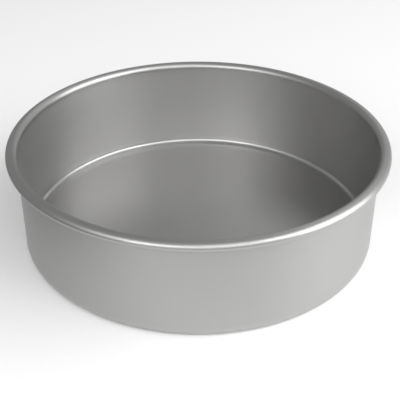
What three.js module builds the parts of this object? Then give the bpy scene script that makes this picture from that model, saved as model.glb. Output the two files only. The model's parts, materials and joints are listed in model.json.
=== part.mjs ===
// Round, straight-sided baking pan: one drawn aluminium sheet whose top edge is rolled outwards
// round a steel wire. Millimetres, +Z up, with the origin at the middle of the underside.
import * as THREE from "three";

// Driving sizes
const INSIDE_DIAMETER = 254; // from wall to wall
const OVERALL_HEIGHT = 75.5; // from the underside to the top of the rim
const SHEET_THICKNESS = 1.2;
const CORNER_RADIUS = 3.4; // inside, between the floor and the wall
const WIRE_DIAMETER = 3.8;
const ROLL_SPREAD = 1.5; // how much wider than tall the rolled rim is

// Clearances
const WIRE_CLEARANCE = 0.3; // from the wire to the sheet above and below it
const EDGE_GAP = 0.4; // from the roll's cut edge to the wall beside it

// Fineness of the facets
const STEPS_AROUND = 72;
const STEPS_CORNER = 6;
const STEPS_OVER_ROLL = 8;
const STEPS_UNDER_ROLL = 6;
const STEPS_WIRE = 12;

// Sizes that follow from the driving ones
const insideRadius = INSIDE_DIAMETER / 2;
const outsideRadius = insideRadius + SHEET_THICKNESS;
const outsideCorner = CORNER_RADIUS + SHEET_THICKNESS;
const rollHalfHeight = WIRE_DIAMETER / 2 + WIRE_CLEARANCE + SHEET_THICKNESS;
const rollHalfWidth = rollHalfHeight + ROLL_SPREAD / 2;

// The circle that the middle of the roll, and so the wire, follows
const rollRadius = insideRadius + rollHalfWidth;
const rollHeight = OVERALL_HEIGHT - rollHalfHeight;

// Angles in a section: 0 points outwards and a quarter turn points up. The roll leaves the wall at
// half a turn, goes over the top and down the outside, and stops with its edge a gap from the wall.
const QUARTER = Math.PI / 2;
const rollEnd = -Math.acos((SHEET_THICKNESS + EDGE_GAP) / rollHalfWidth - 1);
const rollAngles = [
  ...evenly(2 * QUARTER, 0, STEPS_OVER_ROLL),
  ...evenly(0, rollEnd, STEPS_UNDER_ROLL).slice(1),
];

// Evenly spaced values, with both ends.
function evenly(from, to, steps) {
  return Array.from({ length: steps + 1 }, (_, i) => from + ((to - from) * i) / steps);
}

// Part of a circle in a section, whose points are (radius, height).
function arc(centreRadius, centreHeight, size, from, to, steps) {
  return evenly(from, to, steps).map(
    (angle) => new THREE.Vector2(centreRadius + size * Math.cos(angle), centreHeight + size * Math.sin(angle)),
  );
}

// One face of the rolled sheet: an ellipse, moved along its normal to a depth below the outside.
function rollFace(depth) {
  return rollAngles.map((angle) => {
    const across = Math.cos(angle);
    const up = Math.sin(angle);
    const normal = new THREE.Vector2(rollHalfHeight * across, rollHalfWidth * up).normalize();
    return new THREE.Vector2(
      rollRadius + rollHalfWidth * across - depth * normal.x,
      rollHeight + rollHalfHeight * up - depth * normal.y,
    );
  });
}

// A section turned about the pan's axis. A lathe turns about Y, so the piece is then stood up along Z.
function turned(name, section, material) {
  const geometry = new THREE.LatheGeometry(section, STEPS_AROUND).rotateX(QUARTER);
  const mesh = new THREE.Mesh(geometry, material);
  mesh.name = name;
  return mesh;
}

// The sheet, all in one piece: floor, corner, wall and rolled rim. Its section follows the outer
// face from the middle of the underside to the roll's edge, and comes back along the inner face.
function panShell() {
  const outerCorner = arc(
    outsideRadius - outsideCorner,
    outsideCorner,
    outsideCorner,
    -QUARTER,
    0,
    STEPS_CORNER,
  );
  const innerCorner = arc(
    insideRadius - CORNER_RADIUS,
    SHEET_THICKNESS + CORNER_RADIUS,
    CORNER_RADIUS,
    0,
    -QUARTER,
    STEPS_CORNER,
  );
  const section = [
    new THREE.Vector2(0, 0),
    ...outerCorner,
    ...rollFace(SHEET_THICKNESS),
    ...rollFace(0).reverse(),
    ...innerCorner,
    new THREE.Vector2(0, SHEET_THICKNESS),
  ];
  const anodised = new THREE.MeshStandardMaterial({ color: 0xb3b3b2, roughness: 0.45, metalness: 1 });
  return turned("pan_shell", section, anodised);
}

// The wire that stiffens the rim, a closed ring inside the roll.
function rimWire() {
  const section = arc(rollRadius, rollHeight, WIRE_DIAMETER / 2, 0, 4 * QUARTER, STEPS_WIRE);
  const steel = new THREE.MeshStandardMaterial({ color: 0xa3a3a1, roughness: 0.45, metalness: 1 });
  return turned("rim_wire", section, steel);
}

const bakingPan = new THREE.Group();
bakingPan.add(panShell(), rimWire());

export default bakingPan;
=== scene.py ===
"""Round, straight-sided baking pan in satin anodised aluminium, dressed over its CAD frame.

The pan is one drawn and spun sheet whose top edge is rolled outwards round a steel wire. Both pieces are
turned surfaces: a section worked out with numpy and carried round the pan's axis. Sizes are in metres, +Z
up, with the origin at the middle of the underside.
"""

import json
import math

import bpy
import numpy as np
from bpy.props import FloatProperty, FloatVectorProperty, IntProperty, PointerProperty
from bpy.types import NodeSocket, Operator, Panel, PropertyGroup
from mathutils import Matrix, Vector


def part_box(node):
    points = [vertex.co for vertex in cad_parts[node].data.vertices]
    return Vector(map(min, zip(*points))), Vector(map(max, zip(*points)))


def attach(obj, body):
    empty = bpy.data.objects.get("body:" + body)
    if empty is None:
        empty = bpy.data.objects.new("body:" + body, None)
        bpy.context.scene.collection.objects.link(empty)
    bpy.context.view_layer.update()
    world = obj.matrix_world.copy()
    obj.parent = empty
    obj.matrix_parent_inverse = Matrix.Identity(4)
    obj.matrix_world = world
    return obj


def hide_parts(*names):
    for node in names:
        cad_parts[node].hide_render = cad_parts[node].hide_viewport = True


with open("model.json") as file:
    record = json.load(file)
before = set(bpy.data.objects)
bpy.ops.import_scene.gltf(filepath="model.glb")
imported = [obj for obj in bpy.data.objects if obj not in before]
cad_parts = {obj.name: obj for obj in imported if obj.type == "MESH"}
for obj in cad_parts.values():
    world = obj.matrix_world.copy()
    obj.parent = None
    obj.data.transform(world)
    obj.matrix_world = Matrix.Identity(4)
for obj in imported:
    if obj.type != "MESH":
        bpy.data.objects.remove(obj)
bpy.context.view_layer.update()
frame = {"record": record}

bl_info = {
    "name": "Round Baking Pan",
    "version": (1, 0, 0),
    "blender": (4, 5, 0),
    "location": "View3D > Sidebar > Baking Pan",
    "description": "Makes a round baking pan with a rolled, wired rim, and a small studio to show it in",
    "category": "Object",
}

# Sizes that the frame gives
_, SHELL_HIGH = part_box("pan_shell")
WIRE_LOW, WIRE_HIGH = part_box("rim_wire")
WIRE_DIAMETER = WIRE_HIGH.z - WIRE_LOW.z
RING_RADIUS = WIRE_HIGH.x - WIRE_DIAMETER / 2
RING_HEIGHT = (WIRE_LOW.z + WIRE_HIGH.z) / 2
MOUNT_HEIGHTS = {mount["name"]: mount["pos_m"][2] for mount in frame["record"]["mounts"]}

QUARTER = math.pi / 2

# Where a Mix node keeps its colour sockets
MIX_FACTOR, MIX_FIRST, MIX_SECOND, MIX_RESULT = 0, 6, 7, 2

# How many layers of ever finer detail a noise has
SMOOTH, FINE, VERY_FINE = 2.0, 3.0, 4.0

# Halfway between 0 and 1, as the middle of a noise is
HALFWAY = 0.5

# A quarter turn, as a shader's anisotropic rotation gives it
ACROSS_THE_LINES = 0.25

WHITE = (1.0, 1.0, 1.0)

# The studio's softboxes, whose settings start with these names
SOFTBOXES = ("key", "front_left", "left", "front", "front_right", "right", "side", "rear", "back", "high")


def length(name, description, metres):
    """A property for a length."""
    return FloatProperty(name=name, description=description, default=metres, precision=5, unit="LENGTH")


def angle(name, description, degrees):
    """A property for an angle, given in degrees and kept in radians."""
    return FloatProperty(name=name, description=description, default=math.radians(degrees), subtype="ANGLE")


def share(name, description, value):
    """A property for a number between 0 and 1."""
    return FloatProperty(name=name, description=description, default=value, min=0, max=1, subtype="FACTOR")


def colour(name, description, value):
    """A property for a colour in linear light."""
    limits = {"min": 0, "max": 1}
    return FloatVectorProperty(name=name, description=description, default=value, subtype="COLOR", **limits)


def amount(name, description, value):
    """A property for a number that isn't below 0, such as a brightness, where 1 is white."""
    return FloatProperty(name=name, description=description, default=value, min=0)


def count(name, description, value):
    """A property for a number of steps."""
    return IntProperty(name=name, description=description, default=value, min=3)


class PanSheetSettings(PropertyGroup):
    """Sizes and finish of the pan's sheet."""

    overall_height: length("Overall height", "From the underside to the top of the rim", SHELL_HIGH.z)
    rim_radius: length("Rim radius", "From the axis to the outside of the rolled rim", SHELL_HIGH.x)
    roll_radius: length("Roll radius", "From the axis to the middle of the roll", RING_RADIUS)
    roll_height: length("Roll height", "From the underside to the middle of the roll", RING_HEIGHT)
    thickness: length("Thickness", "Of the sheet", MOUNT_HEIGHTS["floor"] - MOUNT_HEIGHTS["underside"])
    corner_radius: length("Corner radius", "Inside, between the floor and the wall", 0.0034)
    roll_shoulder: length("Roll shoulder", "From the top of the wall to the top of the roll", 0.0042)
    roll_end: angle("Roll end", "Where the roll's cut edge begins, turned from its outermost point", -119)
    steps_around: count("Steps around", "Faces in one turn about the axis", 360)
    steps_straight: count("Steps straight", "Points along the floor, and along the wall", 26)
    steps_corner: count("Steps corner", "Points over the corner", 13)
    steps_roll: count("Steps roll", "Points round the roll", 49)
    steps_edge: count("Steps edge", "Points over the rounded cut edge", 9)

    colour: colour("Colour", "Of the anodised face", (0.452, 0.450, 0.445))
    colour_worn: colour("Worn colour", "Where the anodising is worn on the bends", (0.465, 0.464, 0.46))
    colour_cut: colour("Cut colour", "Of the bare aluminium at the cut edge", (0.66, 0.66, 0.655))
    wear: share("Wear", "Of the bends, on average", 0.5)
    roughness_floor: share("Floor roughness", "Of the flat floor, which spinning leaves as it was", 0.36)
    roughness_wall: share("Wall roughness", "Of the spun wall", 0.45)
    roughness_corner: share("Corner roughness", "Of the corner, which forming has burnished", 0.31)
    roll_burnish: share("Roll burnish", "Of the roll, where 1 is as burnished as the corner", 0.65)
    spin_gloss: share("Spin gloss", "How far the spinning lines draw the gloss out across them", 0.6)
    bend_fade: length("Bend fade", "How far the burnish reaches past a bend", 0.0015)
    line_spacing: length("Line spacing", "Between the fine lines left by spinning", 0.00045)
    line_runs: amount("Line runs", "How often a spinning line breaks off, in times per radian", 2.5)
    line_tone: share("Line tone", "How far the spinning lines change the colour", 0.12)
    line_roughness: share("Line roughness", "How far the spinning lines change the roughness", 0.1)
    lines_floor: share("Floor lines", "Share of the lines on the floor, where the grain has the rest", 0.2)
    lines_wall: share("Wall lines", "Share of the lines on the wall, where the grain has the rest", 0.65)
    grain_size: length("Grain size", "Of the etched grain under the anodising", 0.0005)
    grain_tone: share("Grain tone", "How far the grain changes the colour", 0.06)
    grain_roughness: share("Grain roughness", "How far the grain changes the roughness", 0.05)
    grain_wear: share("Grain wear", "How far the grain changes the wear", 0.5)
    cloud_size: length("Cloud size", "Of the faint clouds in the anodising", 0.06)
    cloud_tone: share("Cloud tone", "How far the clouds change the colour", 0.05)
    cloud_roughness: share("Cloud roughness", "How far the clouds change the roughness", 0.03)
    cloud_wear: share("Cloud wear", "How far the clouds change the wear", 0.8)
    relief: length("Relief", "Depth of the spinning lines and the grain", 0.000006)


class RimWireSettings(PropertyGroup):
    """Sizes and finish of the wire inside the rolled rim."""

    diameter: length("Diameter", "Of the wire", WIRE_DIAMETER)
    ring_radius: length("Ring radius", "From the axis to the middle of the wire", RING_RADIUS)
    ring_height: length("Ring height", "From the underside to the middle of the wire", RING_HEIGHT)
    steps_around: count("Steps around", "Faces in one turn about the axis", 360)
    steps_section: count("Steps section", "Faces round the wire", 20)
    colour: colour("Colour", "Of the drawn steel", (0.40, 0.40, 0.39))
    colour_dull: colour("Dull colour", "Where the steel has dulled", (0.30, 0.295, 0.285))
    roughness: share("Roughness", "Of the drawn steel", 0.42)
    dullness: share("Dullness", "Of the drawn steel, on average", 0.5)
    line_runs: amount("Line runs", "How often a drawing line breaks off, in times per radian", 30)
    lines_round: amount("Lines round", "How closely the drawing lines lie round the wire", 9)
    line_dullness: share("Line dullness", "How far the drawing lines change the dullness", 0.5)
    line_roughness: share("Line roughness", "How far the drawing lines change the roughness", 0.12)
    patch_size: length("Patch size", "Of the dulled patches", 0.012)
    patch_dullness: amount("Patch dullness", "How far the patches change the dullness", 1.4)
    patch_roughness: share("Patch roughness", "How far the patches change the roughness", 0.15)
    relief: length("Relief", "Depth of the drawing lines", 0.000006)


class StudioSettings(PropertyGroup):
    """Floor, lights and camera. Directions are turned from the camera's side, towards +X."""

    floor_width: length("Floor width", "Of the square floor", 3.4)
    floor_colour: colour("Floor colour", "Of the pale floor", (0.92, 0.92, 0.92))
    # Painted shade: the grey the floor is painted on the left and in front, so the pan's outer wall
    # reflects a darker floor there. The settings below say where it lies.
    floor_painted_shade: colour("Far floor colour", "Where the floor has faded to grey", (0.30, 0.30, 0.30))
    front_fade_azimuth: angle("Front fade azimuth", "Direction in which the front of the floor fades", 0)
    front_fade_start: length("Front fade start", "From the axis to where the front starts to fade", 0.24)
    front_fade_end: length("Front fade end", "From the axis to where the front has faded", 0.44)
    left_fade_azimuth: angle("Left fade azimuth", "Direction in which the left of the floor fades", -77.8)
    left_fade_start: length("Left fade start", "From the axis to where the left starts to fade", 0.15)
    left_fade_end: length("Left fade end", "From the axis to where the left has faded", 0.27)
    speckle_size: length("Speckle size", "Of the faint speckle in the floor", 0.004)
    speckle_tone: share("Speckle tone", "How far the speckle changes the floor's colour", 0.02)
    room_brightness: amount("Room brightness", "Of the grey room all round", 0.355)
    light_distance: length("Light distance", "From the pan to the middle of each softbox", 2.6)
    aim_height: length("Aim height", "Of the point that the softboxes face", SHELL_HIGH.z / 2)

    key_azimuth: angle("Key azimuth", "Direction of the key softbox", -24)
    key_elevation: angle("Key elevation", "Height of the key softbox", 33)
    key_width: length("Key width", "Of the key softbox", 1.2)
    key_height: length("Key height", "Of the key softbox", 1.3)
    key_brightness: amount("Key brightness", "Of the key softbox", 3.2)
    front_left_azimuth: angle("Front left azimuth", "Direction of the front left softbox", -48)
    front_left_elevation: angle("Front left elevation", "Height of the front left softbox", 33)
    front_left_width: length("Front left width", "Of the front left softbox", 1.1)
    front_left_height: length("Front left height", "Of the front left softbox", 1.3)
    front_left_brightness: amount("Front left brightness", "Of the front left softbox", 1.47)
    left_azimuth: angle("Left azimuth", "Direction of the left softbox", -72)
    left_elevation: angle("Left elevation", "Height of the left softbox", 33)
    left_width: length("Left width", "Of the left softbox", 1.0)
    left_height: length("Left height", "Of the left softbox", 1.1)
    left_brightness: amount("Left brightness", "Of the left softbox", 0.42)
    front_azimuth: angle("Front azimuth", "Direction of the front softbox", 6)
    front_elevation: angle("Front elevation", "Height of the front softbox", 33)
    front_width: length("Front width", "Of the front softbox", 1.2)
    front_height: length("Front height", "Of the front softbox", 1.5)
    front_brightness: amount("Front brightness", "Of the front softbox", 1.7)
    front_right_azimuth: angle("Front right azimuth", "Direction of the front right softbox", 34)
    front_right_elevation: angle("Front right elevation", "Height of the front right softbox", 33)
    front_right_width: length("Front right width", "Of the front right softbox", 1.2)
    front_right_height: length("Front right height", "Of the front right softbox", 1.6)
    front_right_brightness: amount("Front right brightness", "Of the front right softbox", 1.25)
    right_azimuth: angle("Right azimuth", "Direction of the right softbox", 77)
    right_elevation: angle("Right elevation", "Height of the right softbox", 28)
    right_width: length("Right width", "Of the right softbox", 2.6)
    right_height: length("Right height", "Of the right softbox", 2.8)
    right_brightness: amount("Right brightness", "Of the right softbox", 2.68)
    side_azimuth: angle("Side azimuth", "Direction of the side softbox", 120)
    side_elevation: angle("Side elevation", "Height of the side softbox", 25)
    side_width: length("Side width", "Of the side softbox", 1.2)
    side_height: length("Side height", "Of the side softbox", 1.6)
    side_brightness: amount("Side brightness", "Of the side softbox", 0.45)
    rear_azimuth: angle("Rear azimuth", "Direction of the rear softbox", 150)
    rear_elevation: angle("Rear elevation", "Height of the rear softbox", 13)
    rear_width: length("Rear width", "Of the rear softbox", 1.8)
    rear_height: length("Rear height", "Of the rear softbox", 0.8)
    rear_brightness: amount("Rear brightness", "Of the rear softbox", 0.34)
    back_azimuth: angle("Back azimuth", "Direction of the back softbox", 160)
    back_elevation: angle("Back elevation", "Height of the back softbox", 40)
    back_width: length("Back width", "Of the back softbox", 1.2)
    back_height: length("Back height", "Of the back softbox", 0.9)
    back_brightness: amount("Back brightness", "Of the back softbox", 0.5)
    high_azimuth: angle("High azimuth", "Direction of the high softbox", 30)
    high_elevation: angle("High elevation", "Height of the high softbox", 58)
    high_width: length("High width", "Of the high softbox", 1.8)
    high_height: length("High height", "Of the high softbox", 1.0)
    high_brightness: amount("High brightness", "Of the high softbox", 1.35)

    camera_distance: length("Camera distance", "From the middle of the rim", 0.5622)
    camera_elevation: angle("Camera elevation", "Height of the camera as seen from the rim", 27.82)
    camera_pitch: angle("Camera pitch", "How far below the middle of the rim the camera points", 3.408)
    camera_yaw: angle("Camera yaw", "How far the camera is turned towards +X", 0.12)
    camera_roll: angle("Camera roll", "How far the camera is tilted", 0.106)
    camera_nearest: length("Camera nearest", "Least distance at which the camera sees anything", 0.01)
    lens_mm: FloatProperty(name="Lens", description="Focal length", default=70.92, unit="CAMERA")
    sensor_mm: FloatProperty(name="Sensor", description="Width of the sensor", default=36.0, unit="CAMERA")
    shift_up: FloatProperty(name="Shift", description="Of the picture, in picture widths", default=-0.0483)


def node(tree, kind, inputs, **settings):
    """Adds a shader node. Each of its inputs, by name or number, is a value or another node's output."""
    made = tree.nodes.new("ShaderNode" + kind)
    for key, value in settings.items():
        setattr(made, key, value)
    for key, value in inputs.items():
        if isinstance(value, NodeSocket):
            tree.links.new(value, made.inputs[key])
        else:
            made.inputs[key].default_value = value
    return made


def noise(tree, place, scale, detail):
    """A noise between 0 and 1 over a place, whose three axes are first scaled one by one."""
    scaled = node(tree, "Mapping", {"Vector": place, "Scale": scale}, vector_type="POINT")
    inputs = {"Vector": scaled.outputs["Vector"], "Scale": 1.0, "Detail": detail}
    return node(tree, "TexNoise", inputs).outputs["Fac"]


def even_noise(tree, place, size, detail):
    """A noise whose patches have about one size in every direction."""
    return noise(tree, place, (1 / size, 1 / size, 1 / size), detail)


def varied(tree, middle, *swings):
    """A number that swings about a middle: middle + weight * (noise - halfway), for each noise."""
    total = middle - HALFWAY * sum(weight for _, weight in swings)
    for value, weight in swings:
        total = node(tree, "Math", {0: value, 1: weight, 2: total}, operation="MULTIPLY_ADD").outputs[0]
    return total


def product(tree, first, second):
    """Two numbers multiplied."""
    return node(tree, "Math", {0: first, 1: second}, operation="MULTIPLY").outputs[0]


def toned(tree, rgb, tone):
    """A colour made lighter or darker by a tone, where 1 leaves it as it is."""
    return node(tree, "VectorMath", {0: rgb, "Scale": tone}, operation="SCALE").outputs["Vector"]


def blended(tree, factor, first, second):
    """The first colour where the factor is 0 and the second where it is 1."""
    inputs = {MIX_FACTOR: factor, MIX_FIRST: first, MIX_SECOND: second}
    return node(tree, "Mix", inputs, data_type="RGBA").outputs[MIX_RESULT]


def opaque(rgb):
    """A colour as a shader socket takes it."""
    return (*rgb, 1.0)


def attribute(tree, name, output):
    """One of the piece's own attributes."""
    return node(tree, "Attribute", {}, attribute_name=name).outputs[output]


def new_material(name):
    """A material with a Principled shader, its node tree and that shader."""
    material = bpy.data.materials.new(name)
    material.use_nodes = True
    return material, material.node_tree, material.node_tree.nodes["Principled BSDF"]


def satin_anodised(sheet, name, roughness, line_share, spin_gloss):
    """Satin anodised aluminium.

    Fine lines run round the pan, as spinning leaves them, over an etched grain and faint clouds. They draw
    the gloss out across them. The bends are burnished and a little worn, and the cut edge is bare metal.
    """
    material, tree, shader = new_material(name)
    place = node(tree, "TexCoord", {}).outputs["Object"]
    spin = attribute(tree, "spin", "Vector")
    bend = attribute(tree, "bend", "Fac")
    cut = attribute(tree, "cut", "Fac")
    lines = noise(tree, spin, (sheet.line_runs, sheet.line_runs, 1 / sheet.line_spacing), SMOOTH)
    grain = even_noise(tree, place, sheet.grain_size, FINE)
    clouds = even_noise(tree, place, sheet.cloud_size, SMOOTH)

    line_tone = (lines, sheet.line_tone * line_share)
    tone = varied(tree, 1.0, (clouds, sheet.cloud_tone), (grain, sheet.grain_tone), line_tone)
    anodised = toned(tree, sheet.colour, tone)
    wear = varied(tree, sheet.wear, (clouds, sheet.cloud_wear), (grain, sheet.grain_wear))
    worn = blended(tree, product(tree, bend, wear), anodised, opaque(sheet.colour_worn))
    tree.links.new(blended(tree, cut, worn, opaque(sheet.colour_cut)), shader.inputs["Base Color"])

    line_roughness = (lines, sheet.line_roughness * line_share)
    swings = (line_roughness, (grain, sheet.grain_roughness), (clouds, sheet.cloud_roughness))
    plain = varied(tree, roughness, *swings)
    burnish = sheet.roughness_corner - roughness
    rough = node(tree, "Math", {0: bend, 1: burnish, 2: plain}, operation="MULTIPLY_ADD").outputs[0]
    tree.links.new(rough, shader.inputs["Roughness"])

    relief = varied(tree, HALFWAY, (lines, line_share), (grain, 1 - line_share))
    bump = node(tree, "Bump", {"Height": relief, "Strength": 1.0, "Distance": sheet.relief})
    tree.links.new(bump.outputs["Normal"], shader.inputs["Normal"])
    around = node(tree, "Tangent", {}, direction_type="RADIAL", axis="Z").outputs["Tangent"]
    tree.links.new(around, shader.inputs["Tangent"])
    shader.inputs["Anisotropic"].default_value = spin_gloss
    shader.inputs["Anisotropic Rotation"].default_value = ACROSS_THE_LINES
    shader.inputs["Metallic"].default_value = 1.0
    return material


def even_floor(sheet):
    """The finish of the flat floor, which the spinning tool doesn't touch: an even etched grain."""
    return satin_anodised(sheet, "etched_floor", sheet.roughness_floor, sheet.lines_floor, 0.0)


def spun_wall(sheet):
    """The finish of the corner, the wall and the roll: fine lines round the pan."""
    return satin_anodised(sheet, "spun_wall", sheet.roughness_wall, sheet.lines_wall, sheet.spin_gloss)


def drawn_steel(wire):
    """Drawn steel wire: lines along the wire from the die, and dulled patches."""
    material, tree, shader = new_material("drawn_steel_wire")
    place = node(tree, "TexCoord", {}).outputs["Object"]
    drawn = attribute(tree, "drawn", "Vector")
    lines = noise(tree, drawn, (wire.lines_round, wire.lines_round, wire.line_runs), FINE)
    patches = even_noise(tree, place, wire.patch_size, VERY_FINE)
    dull = varied(tree, wire.dullness, (patches, wire.patch_dullness), (lines, wire.line_dullness))
    steel = blended(tree, dull, opaque(wire.colour), opaque(wire.colour_dull))
    tree.links.new(steel, shader.inputs["Base Color"])
    rough = varied(tree, wire.roughness, (lines, wire.line_roughness), (patches, wire.patch_roughness))
    tree.links.new(rough, shader.inputs["Roughness"])
    bump = node(tree, "Bump", {"Height": lines, "Strength": 1.0, "Distance": wire.relief})
    tree.links.new(bump.outputs["Normal"], shader.inputs["Normal"])
    shader.inputs["Metallic"].default_value = 1.0
    return material


def towards(azimuth, elevation):
    """The direction that lies an azimuth round from the camera's side, towards +X, and an elevation up."""
    level = math.cos(elevation)
    return Vector((math.sin(azimuth) * level, -math.cos(azimuth) * level, math.sin(elevation)))


def painted_shade_side(tree, place, studio, side):
    """Where the floor's painted shade lies: a number that rises from 0 to 1 between two distances from the
    axis, towards one side.
    """
    fields = ("azimuth", "start", "end")
    azimuth, start, end = (getattr(studio, f"{side}_fade_{field}") for field in fields)
    away = node(tree, "VectorMath", {0: place, 1: towards(azimuth, 0)}, operation="DOT_PRODUCT")
    reach = {"Value": away.outputs["Value"], "From Min": start, "From Max": end}
    return node(tree, "MapRange", reach, interpolation_type="SMOOTHSTEP").outputs["Result"]


def pale_floor(studio):
    """Matt pale board with a faint speckle, which fades to the room's grey in front and on the left. The
    grey is painted shade: it darkens the floor that the pan's metal reflects.
    """
    material, tree, shader = new_material("pale_floor")
    place = node(tree, "TexCoord", {}).outputs["Object"]
    front, left = (painted_shade_side(tree, place, studio, side) for side in ("front", "left"))
    # Painted shade: the floor turns grey in front and on the left
    fade = node(tree, "Math", {0: front, 1: left}, operation="MAXIMUM").outputs[0]
    board = blended(tree, fade, opaque(studio.floor_colour), opaque(studio.floor_painted_shade))
    speckle = even_noise(tree, place, studio.speckle_size, SMOOTH)
    speckled = toned(tree, board, varied(tree, 1.0, (speckle, studio.speckle_tone)))
    tree.links.new(speckled, shader.inputs["Base Color"])
    shader.inputs["Roughness"].default_value = 1.0
    shader.inputs["Specular IOR Level"].default_value = 0.0
    return material


def unit(vectors):
    """Vectors made one long."""
    return vectors / np.linalg.norm(vectors, axis=-1, keepdims=True)


def straight(start, end, spread):
    """Points on a straight line: start + spread * (end - start), for a spread that rises from 0 to 1."""
    return np.asarray(start) + spread[:, None] * (np.asarray(end) - np.asarray(start))


def sheet_face(sheet):
    """The sheet's inner face in section, from the axis to the cut edge.

    Gives the points (radius, height), their normals, how much each is bent and whether it is spun. The
    floor is a line from the axis out to the corner, closer stepped towards it, as sin(u) does. The corner
    is a quarter circle, centre + radius * (cos a, sin a) for a from -90 to 0 degrees. The wall is a line up
    to the roll, closer stepped at both ends, as cos(u) does. The roll is two ellipses that meet at its top,
    top + (half width * cos a, half height * (sin a - 1)), from half a turn, over the top and down the
    outside to the cut edge. Its inner side is the taller. A bend is 1 on the corner, less on the roll, and
    fades along the flats as exp(-(distance / fade)^2).
    """
    half_width = sheet.rim_radius - sheet.roll_radius
    inside_radius = sheet.roll_radius - half_width
    size = sheet.corner_radius

    turn = np.linspace(-QUARTER, 0, sheet.steps_corner)
    corner_normal = -np.stack([np.cos(turn), np.sin(turn)], axis=1)
    corner = np.array([inside_radius - size, sheet.thickness + size]) - size * corner_normal

    turn = np.linspace(2 * QUARTER, sheet.roll_end, sheet.steps_roll)
    across, up = np.cos(turn), np.sin(turn)
    tall = np.where(turn > QUARTER, sheet.roll_shoulder, sheet.overall_height - sheet.roll_height)
    top = np.array([sheet.roll_radius, sheet.overall_height])
    roll = top + np.stack([half_width * across, tall * (up - 1)], axis=1)
    roll_normal = unit(np.stack([tall * across, half_width * up], axis=1))

    rise = np.linspace(0, 1, sheet.steps_straight)
    floor = straight((0, sheet.thickness), corner[0], np.sin(QUARTER * rise))[:-1]
    wall = straight(corner[-1], roll[0], (1 - np.cos(2 * QUARTER * rise)) / 2)[1:-1]
    floor_normal = np.broadcast_to([0.0, 1.0], floor.shape)
    wall_normal = np.broadcast_to([-1.0, 0.0], wall.shape)

    aways = (corner[0, 0] - floor[:, 0], wall[:, 1] - corner[-1, 1], roll[0, 1] - wall[:, 1])
    floor_fade, foot_fade, top_fade = (np.exp(-((away / sheet.bend_fade) ** 2)) for away in aways)
    wall_bend = np.maximum(foot_fade, sheet.roll_burnish * top_fade)
    roll_bend = np.full(len(roll), sheet.roll_burnish)
    bend = np.concatenate([floor_fade, np.ones(len(corner)), wall_bend, roll_bend])
    points = np.concatenate([floor, corner, wall, roll])
    normals = np.concatenate([floor_normal, corner_normal, wall_normal, roll_normal])
    spun = np.arange(len(points)) >= len(floor)
    return points, normals, bend, spun


def sheet_section(sheet):
    """The sheet's whole section, from the axis on the floor to the axis on the underside.

    Gives the points, how much each is bent, whether it is cut and whether it is spun. The outer face is the
    inner one moved one thickness against its normals. A half circle joins the two at the cut edge, middle +
    half the thickness * (cos b * normal + sin b * onward).
    """
    points, normals, bend, spun = sheet_face(sheet)
    half = sheet.thickness / 2
    normal = normals[-1]
    onward = np.array([normal[1], -normal[0]])
    turn = np.linspace(0, 2 * QUARTER, sheet.steps_edge)[1:-1, None]
    edge = points[-1] - half * normal + half * (np.cos(turn) * normal + np.sin(turn) * onward)
    back = (points - sheet.thickness * normals)[::-1]
    section = np.concatenate([points, edge, back])
    bends = np.concatenate([bend, np.full(len(edge), bend[-1]), bend[::-1]])
    cuts = np.concatenate([np.zeros(len(points)), np.ones(len(edge)), np.zeros(len(back))])
    spuns = np.concatenate([spun, np.ones(len(edge), bool), spun[::-1]])
    return section, bends, cuts, spuns


def carried_round(section, steps):
    """A section carried round the axis, as a grid: (radius * cos t, radius * sin t, height)."""
    turn = np.linspace(0, 4 * QUARTER, steps, endpoint=False)
    radius = section[:, :1]
    height = np.broadcast_to(section[:, 1:], (len(section), steps))
    return np.stack([radius * np.cos(turn), radius * np.sin(turn), height], axis=-1)


def grid_faces(rings, steps, closed):
    """Four-cornered faces between neighbouring rings, and from the last to the first if it is closed."""
    number = np.arange(rings * steps).reshape(rings, steps)
    above = number if closed else number[:-1]
    below = np.roll(number, -1, axis=0) if closed else number[1:]
    corners = [above, below, np.roll(below, -1, axis=1), np.roll(above, -1, axis=1)]
    return np.stack(corners, axis=-1).reshape(-1, 4)


def pole_faces(rings, steps):
    """Triangles from the first and last rings to the poles, which are numbered after all rings."""
    step = np.arange(steps)
    onward = np.roll(step, -1)
    last = (rings - 1) * steps
    first_pole = np.full(steps, rings * steps)
    first = np.stack([first_pole, step, onward], axis=1)
    second = np.stack([last + step, first_pole + 1, last + onward], axis=1)
    return np.concatenate([first, second])


def smooth_piece(name, vertices, faces, materials, attributes):
    """A smooth mesh object at the origin, with attributes: one number or one vector for each vertex."""
    mesh = bpy.data.meshes.new(name)
    mesh.from_pydata(vertices.tolist(), [], faces)
    if mesh.validate():
        raise RuntimeError(name + " has faces that don't hold together")
    mesh.shade_smooth()
    for key, values in attributes.items():
        kind, field = ("FLOAT", "value") if values.ndim == 1 else ("FLOAT_VECTOR", "vector")
        made = mesh.attributes.new(key, kind, "POINT")
        made.data.foreach_set(field, values.astype(np.float32).ravel())
    for material in materials:
        mesh.materials.append(material)
    piece = bpy.data.objects.new(name, mesh)
    bpy.context.scene.collection.objects.link(piece)
    return piece


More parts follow.
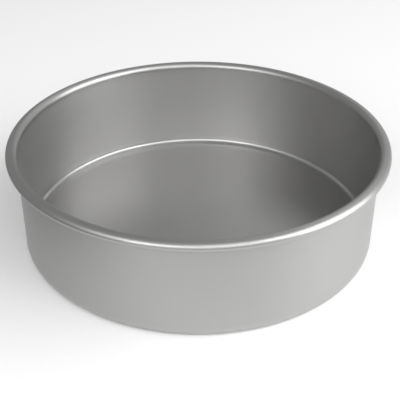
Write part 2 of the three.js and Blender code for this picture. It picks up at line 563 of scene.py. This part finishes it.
class BAKING_PAN_OT_sheet(Operator):
    """Makes the pan's sheet: floor, corner, wall and rolled rim in one turned surface."""

    bl_idname = "baking_pan.sheet"
    bl_label = "Make the Sheet"

    def execute(self, context):
        sheet = context.scene.pan_sheet
        section, bends, cuts, spuns = sheet_section(sheet)
        run = np.concatenate([[0], np.cumsum(np.linalg.norm(np.diff(section, axis=0), axis=1))])
        steps = sheet.steps_around
        rings = section[1:-1]
        grid = carried_round(rings, steps)
        poles = np.stack([np.zeros(2), np.zeros(2), section[[0, -1], 1]], axis=1)
        vertices = np.concatenate([grid.reshape(-1, 3), poles])
        faces = grid_faces(len(rings), steps, False).tolist() + pole_faces(len(rings), steps).tolist()

        ends = [0, -1]
        spin = carried_round(np.stack([np.ones(len(rings)), run[1:-1]], axis=1), steps).reshape(-1, 3)
        pole_spin = np.stack([np.zeros(2), np.zeros(2), run[ends]], axis=1)
        attributes = {
            "spin": np.concatenate([spin, pole_spin]),
            "bend": np.concatenate([np.repeat(bends[1:-1], steps), bends[ends]]),
            "cut": np.concatenate([np.repeat(cuts[1:-1], steps), cuts[ends]]),
        }
        finishes = [even_floor(sheet), spun_wall(sheet)]
        piece = smooth_piece("spun_sheet", vertices, faces, finishes, attributes)
        spun_rings = spuns[1:-2] | spuns[2:-1]
        which = np.concatenate([np.repeat(spun_rings, steps), np.zeros(2 * steps, bool)])
        piece.data.polygons.foreach_set("material_index", which.astype(np.int32))
        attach(piece, "root")
        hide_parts("pan_shell")
        return {"FINISHED"}


class BAKING_PAN_OT_wire(Operator):
    """Makes the wire inside the rolled rim: a circle carried round the axis."""

    bl_idname = "baking_pan.wire"
    bl_label = "Make the Wire"

    def execute(self, context):
        wire = context.scene.rim_wire
        steps = wire.steps_around
        turn = np.linspace(0, -4 * QUARTER, wire.steps_section, endpoint=False)
        circle = np.stack([np.cos(turn), np.sin(turn)], axis=1)
        section = np.array([wire.ring_radius, wire.ring_height]) + wire.diameter / 2 * circle
        vertices = carried_round(section, steps).reshape(-1, 3)
        faces = grid_faces(len(section), steps, True).tolist()
        along = np.tile(np.sin(np.linspace(0, 4 * QUARTER, steps, endpoint=False)), len(section))
        drawn = np.column_stack([np.repeat(circle, steps, axis=0), along])
        piece = smooth_piece("wire_ring", vertices, faces, [drawn_steel(wire)], {"drawn": drawn})
        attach(piece, "root")
        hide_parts("rim_wire")
        return {"FINISHED"}


def softbox(studio, name):
    """A rectangular lamp that faces the pan: energy = brightness * pi * its area."""
    fields = ("azimuth", "elevation", "width", "height", "brightness")
    azimuth, elevation, width, height, brightness = (getattr(studio, f"{name}_{field}") for field in fields)
    lamp = bpy.data.lights.new(name + "_softbox", "AREA")
    lamp.shape = "RECTANGLE"
    lamp.size = width
    lamp.size_y = height
    lamp.energy = brightness * math.pi * width * height
    direction = towards(azimuth, elevation)
    made = bpy.data.objects.new(lamp.name, lamp)
    made.location = Vector((0, 0, studio.aim_height)) + studio.light_distance * direction
    made.rotation_euler = direction.to_track_quat("Z", "Y").to_euler()
    made.visible_camera = False
    bpy.context.scene.collection.objects.link(made)


def pan_floor(studio):
    """The floor: a flat square, half its width to each side of the pan's axis."""
    square = np.array([[-1, -1, 0], [1, -1, 0], [1, 1, 0], [-1, 1, 0]])
    corners = studio.floor_width / 2 * square
    return smooth_piece("floor", corners, [[0, 1, 2, 3]], [pale_floor(studio)], {})


def grey_room(studio):
    """An even grey all round."""
    world = bpy.data.worlds.new("grey_room")
    world.use_nodes = True
    background = world.node_tree.nodes["Background"]
    background.inputs["Color"].default_value = opaque(WHITE)
    background.inputs["Strength"].default_value = studio.room_brightness
    bpy.context.scene.world = world


def add_camera(studio, rim_height):
    """A camera in front of the pan, above its rim, turned a little from facing the middle of the rim."""
    data = bpy.data.cameras.new("camera")
    data.sensor_fit = "HORIZONTAL"
    data.sensor_width = studio.sensor_mm
    data.lens = studio.lens_mm
    data.shift_y = studio.shift_up
    data.clip_start = studio.camera_nearest
    camera = bpy.data.objects.new("camera", data)
    place = Vector((0, 0, rim_height)) + studio.camera_distance * towards(0, studio.camera_elevation)
    down = studio.camera_elevation + studio.camera_pitch
    turned = Matrix.Rotation(-studio.camera_yaw, 4, "Z") @ Matrix.Rotation(QUARTER - down, 4, "X")
    camera.matrix_world = Matrix.Translation(place) @ turned @ Matrix.Rotation(studio.camera_roll, 4, "Z")
    bpy.context.scene.collection.objects.link(camera)
    bpy.context.scene.camera = camera


class BAKING_PAN_OT_studio(Operator):
    """Makes the pale floor, the soft lights, the grey room and the camera."""

    bl_idname = "baking_pan.studio"
    bl_label = "Make the Studio"

    def execute(self, context):
        studio = context.scene.pan_studio
        pan_floor(studio)
        for name in SOFTBOXES:
            softbox(studio, name)
        grey_room(studio)
        add_camera(studio, context.scene.pan_sheet.overall_height)
        context.scene.view_settings.view_transform = "Standard"
        return {"FINISHED"}


OPERATORS = (BAKING_PAN_OT_sheet, BAKING_PAN_OT_wire, BAKING_PAN_OT_studio)
SETTINGS = {"pan_sheet": PanSheetSettings, "rim_wire": RimWireSettings, "pan_studio": StudioSettings}


class BAKING_PAN_PT_sidebar(Panel):
    """Lists each piece's operator and settings."""

    bl_idname = "BAKING_PAN_PT_sidebar"
    bl_label = "Round Baking Pan"
    bl_space_type = "VIEW_3D"
    bl_region_type = "UI"
    bl_category = "Baking Pan"

    def draw(self, context):
        for operator, (name, settings) in zip(OPERATORS, SETTINGS.items()):
            box = self.layout.box()
            box.operator(operator.bl_idname)
            for field in settings.__annotations__:
                box.prop(getattr(context.scene, name), field)


CLASSES = (*SETTINGS.values(), *OPERATORS, BAKING_PAN_PT_sidebar)


def register():
    for made in CLASSES:
        bpy.utils.register_class(made)
    for name, settings in SETTINGS.items():
        setattr(bpy.types.Scene, name, PointerProperty(type=settings))


def unregister():
    for name in SETTINGS:
        delattr(bpy.types.Scene, name)
    for made in reversed(CLASSES):
        bpy.utils.unregister_class(made)


def main():
    """Makes the pieces and the studio."""
    register()
    bpy.ops.baking_pan.sheet()
    bpy.ops.baking_pan.wire()
    bpy.ops.baking_pan.studio()


if __name__ == "__main__":
    main()
